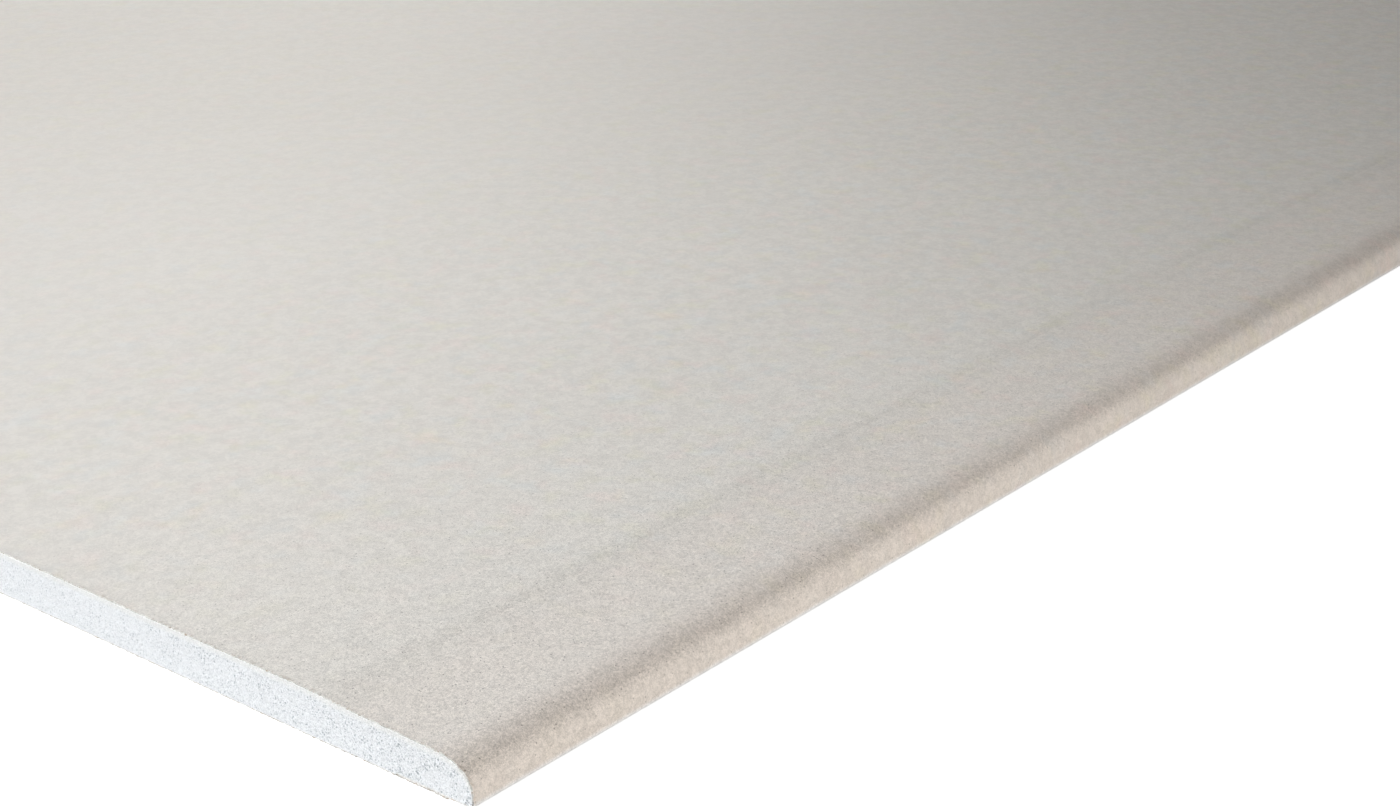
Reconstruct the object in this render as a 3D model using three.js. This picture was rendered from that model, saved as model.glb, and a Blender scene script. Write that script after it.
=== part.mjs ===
// Sheet of paper-faced gypsum board with half-round, tapered long edges and square-sawn ends.
// Millimetres. +X along the sheet, +Y across it, +Z up through its thickness, face side up.
// Origin: centre of the underside, on the plane that the sheet lies on.

import * as THREE from "three";

// Overall sheet
const SHEET_LENGTH = 2500;
const SHEET_WIDTH = 1250;
const SHEET_THICKNESS = 12.5;

// Liners
const FACE_PAPER = 0.4; // thickness of the face liner, which wraps the long edges
const BACK_PAPER = 0.35; // thickness of the back liner
const FLAP_WIDTH = 24; // how far in from the long edge the face liner is folded under
const BARE_STRIP = 8; // folded face liner left uncovered between the long edge and the back liner

// Tapered band along each long edge, measured in from the edge and down from the face
const TAPER_WIDTH = 52;
const TAPER_DEPTH = 1.12; // depth of the band where the round begins
const SHOULDER_WIDTH = 12; // soft S-shaped step at the inner side of the band
const SHOULDER_DROP = 0.62;

// Half-round edge
const ROUND_WIDTH = 12; // how far in from the edge the upper round begins
const ROUND_FULLNESS = 0.62; // share of each side that the round follows; 0.55 is an ellipse
const WIDEST_HEIGHT = 3; // height of the line where the edge reaches furthest out
const HEEL_RADIUS = 1.2; // small round between the edge and the underside

// Facets of the curved stretches
const HEEL_STEPS = 6;
const ROUND_STEPS = 18;
const SHOULDER_STEPS = 10;

const FLAP_TOP = BACK_PAPER + FACE_PAPER;

const gypsum = new THREE.MeshStandardMaterial({ color: 0xecf0f4, roughness: 0.95, metalness: 0 });
const facePaper = new THREE.MeshStandardMaterial({ color: 0xd8d4ce, roughness: 0.9, metalness: 0 });
const backPaper = new THREE.MeshStandardMaterial({ color: 0xb9ad9c, roughness: 0.92, metalness: 0 });

// Outline of one long edge from its underside up to the main face. x is the distance in from the
// edge and y the height. A positive inset gives the same line on the inner side of a liner.
function edgeOutline(inset) {
  const heelCentre = new THREE.Vector2(HEEL_RADIUS, BACK_PAPER + HEEL_RADIUS);
  const heelRadius = HEEL_RADIUS - inset;
  const heel = new THREE.EllipseCurve(
    heelCentre.x, heelCentre.y, heelRadius, heelRadius, 1.5 * Math.PI, Math.PI, true,
  );

  const roundTop = SHEET_THICKNESS - TAPER_DEPTH - inset;
  const roundRise = roundTop - WIDEST_HEIGHT;
  const roundReach = ROUND_WIDTH - inset;
  const round = new THREE.CubicBezierCurve(
    new THREE.Vector2(inset, WIDEST_HEIGHT),
    new THREE.Vector2(inset, WIDEST_HEIGHT + ROUND_FULLNESS * roundRise),
    new THREE.Vector2(ROUND_WIDTH - ROUND_FULLNESS * roundReach, roundTop),
    new THREE.Vector2(ROUND_WIDTH, roundTop),
  );

  const shoulderFoot = SHEET_THICKNESS - SHOULDER_DROP - inset;
  const shoulderHead = SHEET_THICKNESS - inset;
  const shoulderMiddle = TAPER_WIDTH - SHOULDER_WIDTH / 2;
  const shoulder = new THREE.CubicBezierCurve(
    new THREE.Vector2(TAPER_WIDTH - SHOULDER_WIDTH, shoulderFoot),
    new THREE.Vector2(shoulderMiddle, shoulderFoot),
    new THREE.Vector2(shoulderMiddle, shoulderHead),
    new THREE.Vector2(TAPER_WIDTH, shoulderHead),
  );

  return [
    ...heel.getPoints(HEEL_STEPS),
    ...round.getPoints(ROUND_STEPS),
    ...shoulder.getPoints(SHOULDER_STEPS),
  ];
}

// Moves an edge outline to the long edge at +Y (side 1) or -Y (side -1).
function atLongEdge(outline, side) {
  return outline.map((point) => new THREE.Vector2(side * (SHEET_WIDTH / 2 - point.x), point.y));
}

// Joins an outline at the +Y edge, taken upwards, to its mirror image at the -Y edge, taken down.
function acrossSheet(outline) {
  return [...atLongEdge(outline, 1), ...atLongEdge(outline, -1).reverse()];
}

// Runs a section in the Y-Z plane the whole length of the sheet.
function runAlongSheet(section) {
  const geometry = new THREE.ExtrudeGeometry(new THREE.Shape(section), {
    depth: SHEET_LENGTH,
    steps: 1,
    bevelEnabled: false,
  });
  geometry.translate(0, 0, -SHEET_LENGTH / 2);
  const sectionToSheet = new THREE.Matrix4().makeBasis(
    new THREE.Vector3(0, 1, 0),
    new THREE.Vector3(0, 0, 1),
    new THREE.Vector3(1, 0, 0),
  );
  return geometry.applyMatrix4(sectionToSheet);
}

// The core fills the liners: its underside is stepped up over the folded-in flaps.
function gypsumCoreSection() {
  return acrossSheet([
    new THREE.Vector2(FLAP_WIDTH, BACK_PAPER),
    new THREE.Vector2(FLAP_WIDTH, FLAP_TOP),
    ...edgeOutline(FACE_PAPER),
  ]);
}

// One liner of even thickness: the outer line goes across the sheet and the inner line comes back.
function facePaperSection() {
  const outer = [new THREE.Vector2(FLAP_WIDTH, BACK_PAPER), ...edgeOutline(0)];
  const inner = [new THREE.Vector2(FLAP_WIDTH, FLAP_TOP), ...edgeOutline(FACE_PAPER)];
  return [...acrossSheet(outer), ...acrossSheet(inner).reverse()];
}

// A flat strip that laps over both flaps.
function backPaperSection() {
  return acrossSheet([
    new THREE.Vector2(BARE_STRIP, 0),
    new THREE.Vector2(BARE_STRIP, BACK_PAPER),
  ]);
}

function namedMesh(name, section, material) {
  const mesh = new THREE.Mesh(runAlongSheet(section), material);
  mesh.name = name;
  return mesh;
}

const drywallSheet = new THREE.Group();
drywallSheet.add(
  namedMesh("gypsum_core", gypsumCoreSection(), gypsum),
  namedMesh("face_paper", facePaperSection(), facePaper),
  namedMesh("back_paper", backPaperSection(), backPaper),
);

export default drywallSheet;
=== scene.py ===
"""One sheet of paper-faced gypsum board, lying flat with its face up.

The gypsum core is wrapped by two liners. The face liner covers the main face, goes round both tapered
long edges and is folded under; the back liner laps over the folded flaps. Sizes are in metres: X runs
along the sheet, Y across it and Z up through its thickness, and the sheet lies on z = 0.
"""

import logging
import math
from abc import ABC, abstractmethod
from dataclasses import dataclass, field
from enum import Enum
from functools import partial, reduce

import bpy
import numpy as np
from mathutils import Matrix, Vector


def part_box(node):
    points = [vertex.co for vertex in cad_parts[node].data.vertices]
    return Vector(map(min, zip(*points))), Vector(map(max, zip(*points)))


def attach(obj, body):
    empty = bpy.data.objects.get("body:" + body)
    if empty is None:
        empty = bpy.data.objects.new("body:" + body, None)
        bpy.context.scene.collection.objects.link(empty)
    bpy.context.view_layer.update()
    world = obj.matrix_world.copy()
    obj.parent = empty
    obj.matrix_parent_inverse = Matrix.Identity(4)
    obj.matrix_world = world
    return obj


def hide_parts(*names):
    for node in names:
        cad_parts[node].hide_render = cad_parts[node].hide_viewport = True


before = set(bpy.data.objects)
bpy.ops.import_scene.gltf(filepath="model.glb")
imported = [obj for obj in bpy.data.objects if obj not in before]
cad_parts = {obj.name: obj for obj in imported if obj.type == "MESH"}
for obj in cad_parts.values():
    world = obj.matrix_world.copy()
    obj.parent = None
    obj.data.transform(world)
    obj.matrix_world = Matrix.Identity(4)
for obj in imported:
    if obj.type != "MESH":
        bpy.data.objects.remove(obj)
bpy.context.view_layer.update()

MM = 0.001

logger = logging.getLogger("drywall_sheet")

Colour = tuple[float, float, float]
Socket = bpy.types.NodeSocket
Value = float | Socket


# ---------------------------------------------------------------------------------------------------
# Seeded noise for shapes
# ---------------------------------------------------------------------------------------------------


@dataclass(frozen=True)
class ValueNoise:
    """Smooth noise from -1 to 1: random heights on a square lattice, blended by a smoothstep.

    Attributes:
        seed: Seed of the random heights.
        cell: Side of a lattice cell.
        period: Cells after which the lattice repeats.
    """

    seed: int
    cell: float
    period: int = 1024

    def at(self, u: np.ndarray, v: np.ndarray | float = 0.0) -> np.ndarray:
        """Returns the noise at the points (u, v).

        The height is a blend of the four lattice heights round the point. Each weight is
        3t^2 - 2t^3 of the share t of the cell that the point has passed.

        Args:
            u: First coordinate of each point.
            v: Second coordinate of each point.

        Returns:
            One height from -1 to 1 for each point.
        """
        heights = np.random.default_rng(self.seed).uniform(-1, 1, (self.period, self.period))
        column, across = np.divmod(np.asarray(u, float) / self.cell, 1)
        row, up = np.divmod(np.asarray(v, float) / self.cell + 0 * column, 1)
        column, row = column.astype(int), row.astype(int)
        across, up = smooth_step(across), smooth_step(up)

        def corner(right: int, top: int) -> np.ndarray:
            """Returns the lattice heights at one corner of each point's cell."""
            return heights[(row + top) % self.period, (column + right) % self.period]

        low = corner(0, 0) * (1 - across) + corner(1, 0) * across
        high = corner(0, 1) * (1 - across) + corner(1, 1) * across
        return low * (1 - up) + high * up


@dataclass(frozen=True)
class PitField:
    """Round pits: one at a random place in some of the cells of a square lattice.

    Attributes:
        seed: Seed of the places and sizes.
        cell: Side of a lattice cell.
        share: Share of the cells that hold a pit.
        smallest: Radius of the smallest pit.
        largest: Radius of the largest pit, at most half a cell.
        period: Cells after which the lattice repeats.
    """

    seed: int
    cell: float
    share: float
    smallest: float
    largest: float
    period: int = 1024

    def depth(self, u: np.ndarray, v: np.ndarray) -> np.ndarray:
        """Returns how deep the pits are at the points (u, v).

        A pit of radius r is a bowl of depth r (1 - d^2 / r^2) / 2 at the distance d from its centre,
        and where pits meet the deeper one counts.

        Args:
            u: First coordinate of each point.
            v: Second coordinate of each point.

        Returns:
            A depth of zero or more for each point.
        """
        draws = np.random.default_rng(self.seed).uniform(0, 1, (4, self.period, self.period))
        column = np.floor(u / self.cell).astype(int)
        row = np.floor(v / self.cell).astype(int)
        depth = np.zeros_like(u)
        for step_u, step_v in np.ndindex(3, 3):
            near_column, near_row = column + step_u - 1, row + step_v - 1
            place_u, place_v, size, chosen = draws[:, near_row % self.period, near_column % self.period]
            radius = self.smallest + (self.largest - self.smallest) * size**2
            distance = np.hypot(
                (near_column + place_u) * self.cell - u, (near_row + place_v) * self.cell - v
            )
            bowl = radius / 2 * (1 - (distance / radius) ** 2)
            depth = np.maximum(depth, np.where(chosen < self.share, bowl, 0))
        return depth


def spaced(start: float, stop: float, step: float) -> np.ndarray:
    """Returns evenly spaced numbers from start to stop, both included, about one step apart."""
    return np.linspace(start, stop, max(2, round(abs(stop - start) / step) + 1))


def smooth_step(value: np.ndarray) -> np.ndarray:
    """Returns 3t^2 - 2t^3 of the value held between 0 and 1."""
    t = np.clip(value, 0, 1)
    return t * t * (3 - 2 * t)


# ---------------------------------------------------------------------------------------------------
# Meshes
# ---------------------------------------------------------------------------------------------------


@dataclass
class Shell:
    """A closed mesh made of grids that share their border vertices.

    Attributes:
        vertices: One row of three coordinates for each vertex.
        faces: Four-cornered faces, gathered one grid at a time.
        slots: The material slot of each of those faces.
    """

    vertices: np.ndarray
    faces: list[np.ndarray] = field(default_factory=list)
    slots: list[np.ndarray] = field(default_factory=list)

    def add_grid(self, indices: np.ndarray, slot: int = 0) -> None:
        """Adds the faces between the rows and columns of a grid of vertex indices.

        Args:
            indices: The grid's vertex indices, in rows and columns.
            slot: The material slot of its faces.
        """
        quads = np.stack(
            [indices[:-1, :-1], indices[:-1, 1:], indices[1:, 1:], indices[1:, :-1]], axis=-1
        ).reshape(-1, 4)
        self.faces.append(quads)
        self.slots.append(np.full(len(quads), slot))

    def to_object(self, name: str, sharp_angle: float = 50.0) -> bpy.types.Object:
        """Writes the shell into a new object in the scene, its faces pointing outwards.

        The solid's signed volume is a sixth of the sum of a . (b x c) over its triangles. Where that
        sum is negative, the order of every face's corners is turned round.

        Args:
            name: Name of the object and its mesh.
            sharp_angle: Edges that turn by more degrees than this are drawn sharp.

        Returns:
            The new object, at the origin.
        """
        quads = np.concatenate(self.faces)
        a, b, c, d = (self.vertices[quads[:, corner]] for corner in range(4))
        volume = np.einsum("ij,ij->", a, np.cross(b, c)) + np.einsum("ij,ij->", a, np.cross(c, d))
        if volume < 0:
            quads = quads[:, ::-1]
        mesh = bpy.data.meshes.new(name)
        mesh.vertices.add(len(self.vertices))
        mesh.vertices.foreach_set("co", self.vertices.astype(np.float32).ravel())
        mesh.loops.add(quads.size)
        mesh.loops.foreach_set("vertex_index", quads.astype(np.int32).ravel())
        mesh.polygons.add(len(quads))
        mesh.polygons.foreach_set("loop_start", np.arange(0, quads.size, 4, dtype=np.int32))
        mesh.polygons.foreach_set("material_index", np.concatenate(self.slots).astype(np.int32))
        mesh.update(calc_edges=True)
        mesh.polygons.foreach_set("use_smooth", np.ones(len(quads), dtype=bool))
        mesh.set_sharp_from_angle(angle=math.radians(sharp_angle))
        piece = bpy.data.objects.new(name, mesh)
        bpy.context.scene.collection.objects.link(piece)
        return piece


def write_attribute(piece: bpy.types.Object, name: str, values: np.ndarray) -> None:
    """Stores one number for each vertex of a piece, under a name that its finish reads."""
    attribute = piece.data.attributes.new(name, "FLOAT", "POINT")
    attribute.data.foreach_set("value", values.astype(np.float32).ravel())


# ---------------------------------------------------------------------------------------------------
# The sheet's section
# ---------------------------------------------------------------------------------------------------


@dataclass(frozen=True)
class BoardSection:
    """Section of the sheet across its length.

    A line of the section is an array of points (in, up): the distance in from a long edge and the
    height above the floor. A positive inset gives the same line on the inner side of the face liner.

    Attributes:
        width: Width of the sheet.
        thickness: Thickness of the sheet.
        face_paper: Thickness of the face liner.
        back_paper: Thickness of the back liner.
        flap_width: How far in from the edge the face liner is folded under.
        bare_strip: Width of the folded liner that the back liner leaves bare.
        taper_width: Width of the tapered band.
        taper_depth: Depth of that band where the round begins.
        shoulder_width: Width of the soft step at the inner side of the band.
        shoulder_drop: Depth of that step.
        round_width: How far in from the edge the round begins.
        round_fullness: Share of each side of its box that the round follows.
        widest_height: Height of the line where the edge reaches furthest out.
        heel_radius: Radius of the small round between the edge and the underside.
    """

    width: float
    thickness: float
    face_paper: float = 0.4 * MM
    back_paper: float = 0.35 * MM
    flap_width: float = 24 * MM
    bare_strip: float = 8 * MM
    taper_width: float = 52 * MM
    taper_depth: float = 1.12 * MM
    shoulder_width: float = 12 * MM
    shoulder_drop: float = 0.62 * MM
    round_width: float = 12 * MM
    round_fullness: float = 0.62
    widest_height: float = 3 * MM
    heel_radius: float = 1.2 * MM

    @property
    def flap_top(self) -> float:
        """Height of the upper side of the folded-in flap."""
        return self.back_paper + self.face_paper

    def heel(self, inset: float, steps: int) -> np.ndarray:
        """Returns the heel: a quarter circle from the underside up to the outermost line.

        Args:
            inset: Distance inwards from the outer surface.
            steps: Number of stretches between its points.

        Returns:
            The heel's points (in, up).
        """
        angle = np.linspace(1.5 * math.pi, math.pi, steps + 1)
        radius = self.heel_radius - inset
        centre = np.array([self.heel_radius, self.back_paper + self.heel_radius])
        return centre + radius * np.column_stack([np.cos(angle), np.sin(angle)])

    def upper_round(self, inset: float, steps: int) -> np.ndarray:
        """Returns the round from the outermost line up to the tapered band.

        It is a cubic Bezier curve, upright at its foot and level at its head, whose handles reach
        round_fullness of the way to the corner between them.

        Args:
            inset: Distance inwards from the outer surface.
            steps: Number of stretches between its points.

        Returns:
            The round's points (in, up).
        """
        foot = np.array([inset, self.widest_height])
        head = np.array([self.round_width, self.thickness - self.taper_depth - inset])
        corner = np.array([foot[0], head[1]])
        low_handle = foot + self.round_fullness * (corner - foot)
        high_handle = head + self.round_fullness * (corner - head)
        return cubic_bezier(foot, low_handle, high_handle, head, steps)

    def shoulder(self, inset: float, steps: int) -> np.ndarray:
        """Returns the S-shaped step from the tapered band up to the flat face.

        Args:
            inset: Distance inwards from the outer surface.
            steps: Number of stretches between its points.

        Returns:
            The shoulder's points (in, up).
        """
        head = np.array([self.taper_width, self.thickness - inset])
        foot = head - np.array([self.shoulder_width, self.shoulder_drop])
        middle = (foot[0] + head[0]) / 2
        return cubic_bezier(foot, np.array([middle, foot[1]]), np.array([middle, head[1]]), head, steps)

    def edge(self, inset: float, flap_step: float, band_step: float) -> np.ndarray:
        """Returns one whole edge, from the flap's inner end round to the flat face.

        Args:
            inset: Distance inwards from the outer surface.
            flap_step: Distance between points along the flap.
            band_step: Distance between points along the tapered band.

        Returns:
            The edge's points (in, up), as many for every inset.
        """
        flap = spaced(self.flap_width, self.heel_radius, flap_step)[:-1]
        under = np.column_stack([flap, np.full_like(flap, self.back_paper + inset)])
        heel = self.heel(inset, steps=8)
        upper = self.upper_round(inset, steps=40)
        side = np.array([0.5 * (heel[-1] + upper[0])])
        band = spaced(self.round_width, self.taper_width - self.shoulder_width, band_step)[1:-1]
        share = (band - self.round_width) / (self.taper_width - self.shoulder_width - self.round_width)
        rise = self.taper_depth - self.shoulder_drop
        slope = np.column_stack([band, self.thickness - self.taper_depth + rise * share - inset])
        return np.concatenate([under, heel, side, upper, slope, self.shoulder(inset, steps=24)])

    def core_heights(self, inwards: np.ndarray) -> tuple[np.ndarray, np.ndarray]:
        """Returns the core's lower and upper height at distances in from the nearer long edge.

        Both are read along the inner side of the liners by straight lines between close points.

        Args:
            inwards: Distances in from the nearer long edge.

        Returns:
            The heights of the underside and of the upper side.
        """
        heel = self.heel(self.face_paper, steps=16)[::-1]
        beyond = self.flap_width + 0.1 * MM
        step = np.array([[self.flap_width, self.flap_top], [beyond, self.back_paper]])
        lower_line = np.concatenate([heel, step])
        upper_round = self.upper_round(self.face_paper, steps=64)
        upper_line = np.concatenate([upper_round, self.shoulder(self.face_paper, steps=24)])
        lower = np.interp(inwards, lower_line[:, 0], lower_line[:, 1])
        upper = np.interp(inwards, upper_line[:, 0], upper_line[:, 1])
        return lower, upper


def cubic_bezier(
    start: np.ndarray, start_handle: np.ndarray, end_handle: np.ndarray, end: np.ndarray, steps: int
) -> np.ndarray:
    """Returns points of the cubic Bezier curve (1-t)^3 a + 3(1-t)^2 t b + 3(1-t) t^2 c + t^3 d.

    Args:
        start: First point, a.
        start_handle: Its handle, b.
        end_handle: The last point's handle, c.
        end: Last point, d.
        steps: Number of stretches between the points.

    Returns:
        The points, one row each.
    """
    t = np.linspace(0, 1, steps + 1)[:, None]
    from_start = (1 - t) ** 3 * start + 3 * (1 - t) ** 2 * t * start_handle
    return from_start + 3 * (1 - t) * t**2 * end_handle + t**3 * end


# ---------------------------------------------------------------------------------------------------
# Finishes
# ---------------------------------------------------------------------------------------------------


class Wiring:
    """Lays out the nodes of one shader tree."""

    def __init__(self, tree: bpy.types.NodeTree) -> None:
        """Starts with an empty tree."""
        self.tree = tree
        self.tree.nodes.clear()

    def node(
        self, kind: str, inputs: dict[str | int, Value | Colour] | None = None, **settings: str
    ) -> bpy.types.Node:
        """Adds a node.

        Args:
            kind: Its type.
            inputs: What its sockets are fed, by the name or number of each.
            **settings: Its properties.

        Returns:
            The node.
        """
        node = self.tree.nodes.new(kind)
        for name, setting in settings.items():
            setattr(node, name, setting)
        for name, value in (inputs or {}).items():
            self.feed(node.inputs[name], value)
        return node

    def feed(self, socket: Socket, value: Value | Colour) -> None:
        """Links a socket to another one, or sets its own value.

        Args:
            socket: The socket.
            value: The other socket, a number, a colour or a vector.
        """
        if isinstance(value, bpy.types.NodeSocket):
            self.tree.links.new(value, socket)
        elif isinstance(value, tuple):
            socket.default_value = (*value, 1.0) if len(socket.default_value) == 4 else value
        else:
            socket.default_value = value

    def maths(self, operation: str, first: Value, second: Value = 0.0, third: Value = 0.0) -> Socket:
        """Returns the result of a sum on up to three numbers."""
        numbers = dict(enumerate((first, second, third)))
        return self.node("ShaderNodeMath", numbers, operation=operation).outputs[0]

    def is_seen(self) -> Socket:
        """Returns 1 for rays from the camera, from gloss and through glass, and 0 for the rest.

        Returns:
            The socket that gives it.
        """
        path = self.node("ShaderNodeLightPath").outputs
        rays = [path[f"Is {kind} Ray"] for kind in ("Camera", "Glossy", "Transmission")]
        return reduce(partial(self.maths, "MAXIMUM"), rays)


class Recipe(Wiring):
    """Lays out the shader nodes of one finish."""

    def __init__(self, name: str) -> None:
        """Starts an empty material.

        Args:
            name: Name of the material.
        """
        self.material = bpy.data.materials.new(name)
        self.material.use_nodes = True
        super().__init__(self.material.node_tree)
        self.place = self.node("ShaderNodeTexCoord").outputs["Object"]
        self.x, self.y, self.z = self.node("ShaderNodeSeparateXYZ", {0: self.place}).outputs

    def total(self, *parts: Value) -> Socket:
        """Returns the sum of several numbers."""
        return reduce(partial(self.maths, "ADD"), parts)

    def product(self, *parts: Value) -> Socket:
        """Returns the product of several numbers."""
        return reduce(partial(self.maths, "MULTIPLY"), parts)

    def inwards(self, half: float, across: Socket) -> Socket:
        """Returns the distance in from the nearer of two sides, each half a width from the middle."""
        return self.maths("SUBTRACT", half, self.maths("ABSOLUTE", across))

    def low_down(self) -> Socket:
        """Returns 1 low down on the sheet, where the finishes turn paler, and 0 above."""
        return self.between(self.z, 0.8 * MM, 2.6 * MM, 1.0, 0.0)

    def noise(
        self,
        size: float,
        detail: float = 2.0,
        roughness: float = 0.5,
        twist: float = 0.0,
        shift: float = 0.0,
    ) -> Socket:
        """Returns a smooth pattern from about -1 to 1.

        Args:
            size: Size of its largest patches.
            detail: Number of finer layers.
            roughness: Strength of each finer layer against the one before.
            twist: How far the pattern is pushed about by itself.
            shift: Distance by which the pattern is moved along X, which tells like patterns apart.

        Returns:
            The socket that gives it.
        """
        moved = self.node("ShaderNodeVectorMath", {0: self.place, 1: (shift, 0.0, 0.0)}, operation="ADD")
        inputs = {
            "Vector": moved.outputs[0],
            "Scale": 1 / size,
            "Detail": detail,
            "Roughness": roughness,
            "Distortion": twist,
        }
        node = self.node("ShaderNodeTexNoise", inputs, noise_dimensions="3D")
        return self.maths("MULTIPLY_ADD", node.outputs["Fac"], 4.0, -2.0)

    def cells(self, size: float) -> tuple[Socket, Socket]:
        """Returns each point's distance to its cell's centre, in cell sizes, and the cell's own number.

        Args:
            size: Size of a cell.

        Returns:
            The socket of the distance and that of a random number from 0 to 1 for each cell.
        """
        inputs = {"Vector": self.place, "Scale": 1 / size, "Randomness": 1.0}
        node = self.node("ShaderNodeTexVoronoi", inputs, voronoi_dimensions="3D", feature="F1")
        split = self.node("ShaderNodeSeparateColor", {"Color": node.outputs["Color"]})
        return node.outputs["Distance"], split.outputs["Red"]

    def between(
        self, value: Value, low: float, high: float, first: float = 0.0, last: float = 1.0
    ) -> Socket:
        """Returns a soft step from first, where the value is low, to last, where it is high."""
        inputs = dict(enumerate((value, low, high, first, last)))
        return self.node("ShaderNodeMapRange", inputs, interpolation_type="SMOOTHSTEP").outputs[0]

    def blend(self, share: Value, base: Socket | Colour, other: Socket | Colour) -> Socket:
        """Returns the base colour where the share is 0 and the other one where it is 1."""
        inputs = {"Factor": share, 6: base, 7: other}
        return self.node("ShaderNodeMix", inputs, data_type="RGBA").outputs[2]

    def shaded(self, colour: Socket | Colour, change: Value) -> Socket:
        """Returns a colour made lighter or darker by a share of itself."""
        inputs = {0: colour, "Scale": self.total(change, 1.0)}
        return self.node("ShaderNodeVectorMath", inputs, operation="SCALE").outputs[0]

    def tinted(self, colour: Socket | Colour, tint: Colour) -> Socket:
        """Returns a colour times a tint."""
        return self.node("ShaderNodeVectorMath", {0: colour, 1: tint}, operation="MULTIPLY").outputs[0]

    def relief(self, height: Socket, depth: float) -> Socket:
        """Returns normals for a relief whose height is given in shares of its depth."""
        inputs = {"Strength": 1.0, "Distance": depth, "Height": height}
        return self.node("ShaderNodeBump", inputs).outputs["Normal"]

    def matt(
        self, colour: Socket | Colour, roughness: float, normal: Socket, gloss: float = 0.12
    ) -> bpy.types.Material:
        """Finishes the material as a matt surface.

        Args:
            colour: Its colour.
            roughness: Its roughness.
            normal: Normals of its relief.
            gloss: Strength of its reflections.

        Returns:
            The finished material.
        """
        inputs = {
            "Base Color": colour,
            "Roughness": roughness,
            "Specular IOR Level": gloss,
            "Normal": normal,
        }
        shader = self.node("ShaderNodeBsdfPrincipled", inputs)
        self.node("ShaderNodeOutputMaterial", {"Surface": shader.outputs["BSDF"]})
        return self.material


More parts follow.
